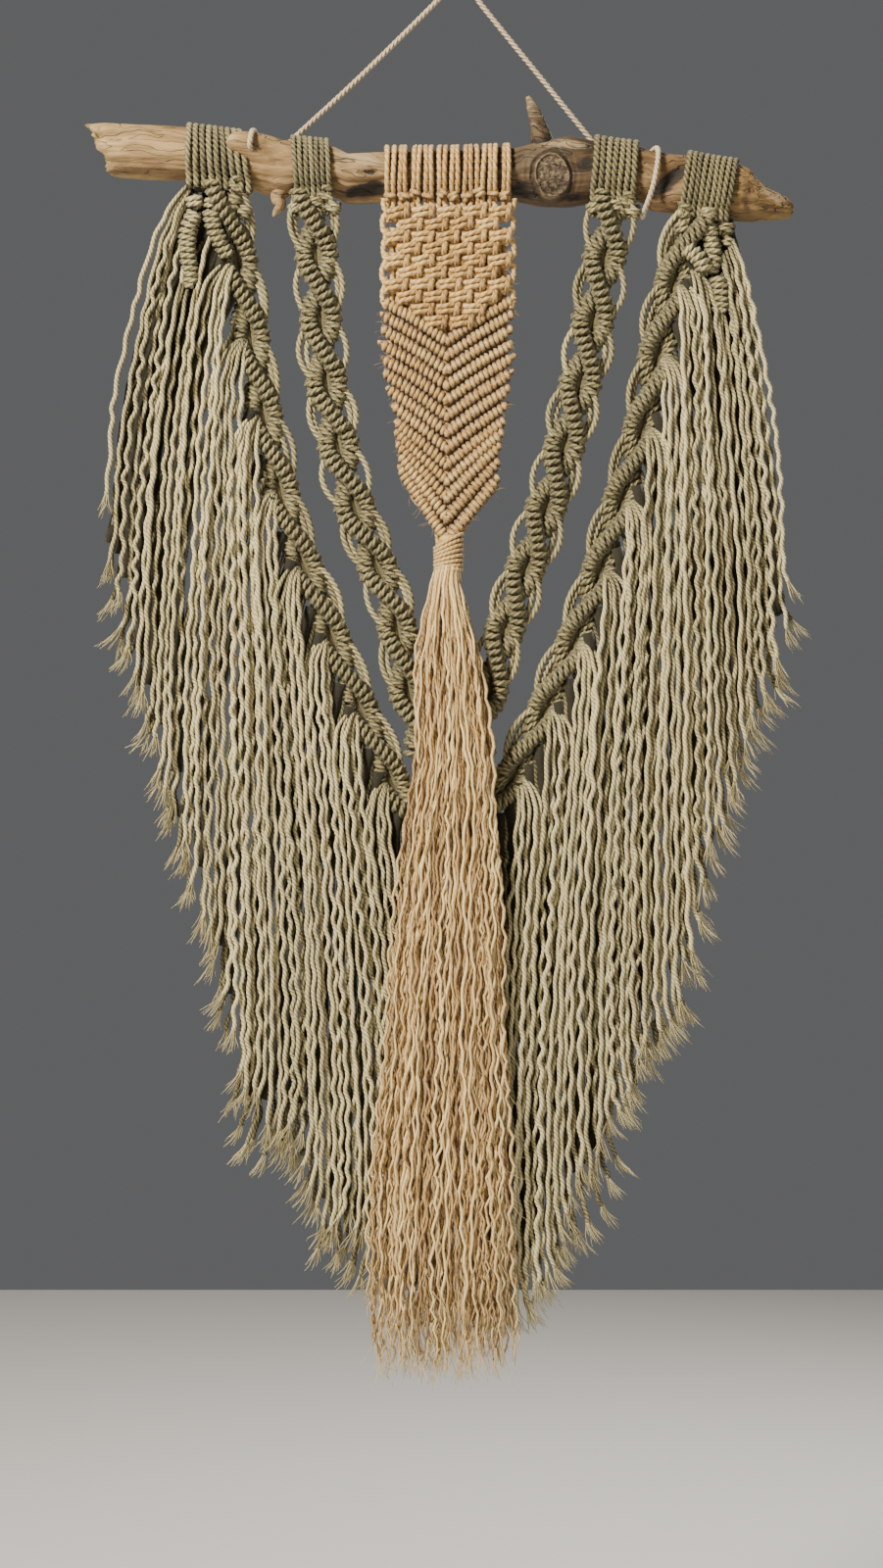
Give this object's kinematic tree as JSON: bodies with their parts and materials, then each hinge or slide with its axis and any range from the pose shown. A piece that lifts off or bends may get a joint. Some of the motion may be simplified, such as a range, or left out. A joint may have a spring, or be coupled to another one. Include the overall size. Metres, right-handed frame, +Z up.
{
  "type": "macrame wall hanging on a driftwood stick",
  "caption": "Macrame wall hanging of sage cotton cord with a jute centre panel and tassel, knotted on a driftwood stick and hung by a twisted cord.",
  "frame": {"origin": "the hanging point, at the top of the hanging cord where the wall's nail holds it", "axes": "+Z up, +Y back into the wall, +X to the right of a viewer who faces the hanging"},
  "size_m": [0.546, 0.0608, 1.0754],
  "materials": {
    "driftwood": "weathered bare wood",
    "sage_cotton": "matt twisted cotton cord",
    "jute": "matt hairy jute cord",
    "hanging_cord": "matt twisted cord"
  },
  "bodies": {
    "root": {"driftwood": "driftwood", "hanging_cord": "hanging_cord", "hanging_cord_tie_left": "hanging_cord", "hanging_cord_tie_right": "hanging_cord", "left_fringe_band": "sage_cotton", "left_fringe": "sage_cotton", "left_band": "sage_cotton", "centre_panel": "jute", "tassel": "jute", "right_band": "sage_cotton", "right_fringe_band": "sage_cotton", "right_fringe": "sage_cotton"}
  },
  "joints": []
}
